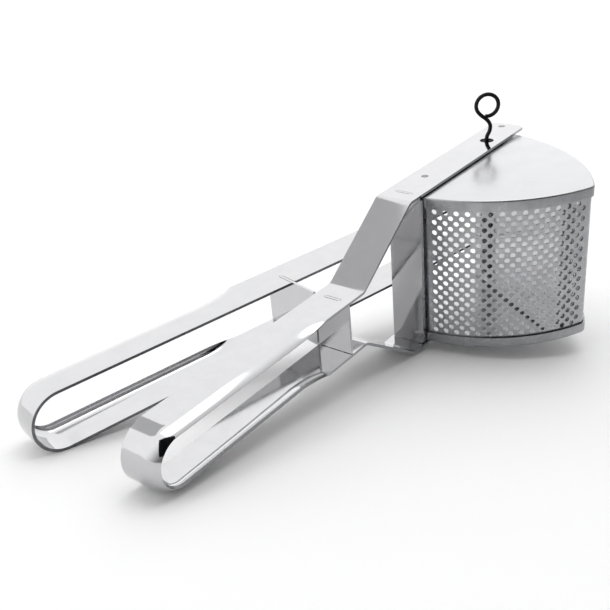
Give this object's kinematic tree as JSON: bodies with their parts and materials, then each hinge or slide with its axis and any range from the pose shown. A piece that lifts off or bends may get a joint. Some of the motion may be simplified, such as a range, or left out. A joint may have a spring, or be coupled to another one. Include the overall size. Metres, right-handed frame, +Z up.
{
  "type": "potato ricer",
  "caption": "Hinged V-shaped potato ricer: punched wedge hopper between loop handles of plated strip, a swinging pusher blade and a pull-out wire hinge pin.",
  "frame": {"origin": "on the table, under the middle of the box, with the ricer lying on its two handle noses and on the heel of its lower strap", "axes": "+Z up, +X along the fixed handle towards the hopper, the hopper bulges towards -Y; the hinge pin leans 9.65 degrees from +Z towards -X"},
  "size_m": [0.3166, 0.1508, 0.1289],
  "materials": {
    "plated_strip": "bright tin or nickel plating on rolled steel strip, near mirror with fine forming marks",
    "hopper_sheet": "bright tin plate, softer reflections and faint mottling",
    "punched_sheet": "tin plate with a punched field of round holes, satin between the holes",
    "rivet_heads": "small staked rivet heads, slightly dulled",
    "dark_wire": "dark oxidised spring wire, semi gloss"
  },
  "bodies": {
    "frame": {"front_handle_strip": "plated_strip", "front_spacer_plate": "plated_strip", "mouth_end_plate": "plated_strip", "hopper_top_plate": "hopper_sheet", "hopper_bottom_plate": "hopper_sheet", "ricing_screen": "punched_sheet", "upper_strap_rivet_1": "rivet_heads", "lower_strap_rivet_1": "rivet_heads", "upper_strap_rivet_2": "rivet_heads", "lower_strap_rivet_2": "rivet_heads"},
    "lever": {"rear_handle_strip": "plated_strip", "rear_spacer_plate": "plated_strip", "hinge_barrel": "plated_strip", "barrel_bush_upper": "plated_strip", "barrel_bush_lower": "plated_strip", "pusher_blade": "hopper_sheet"},
    "pin": {"hinge_pull_pin": "dark_wire"}
  },
  "joints": [
    {"name": "lever_hinge", "type": "hinge", "parent": "frame", "child": "lever", "pos_m": [0.12052, -0.00006, 0.05949], "axis": [0.1677, 0, -0.9858], "range_deg": [0, 100]},
    {"name": "pin_pull", "type": "slide", "parent": "frame", "child": "pin", "axis": [-0.1677, 0, 0.9858], "range_m": [0, 0.092]}
  ]
}
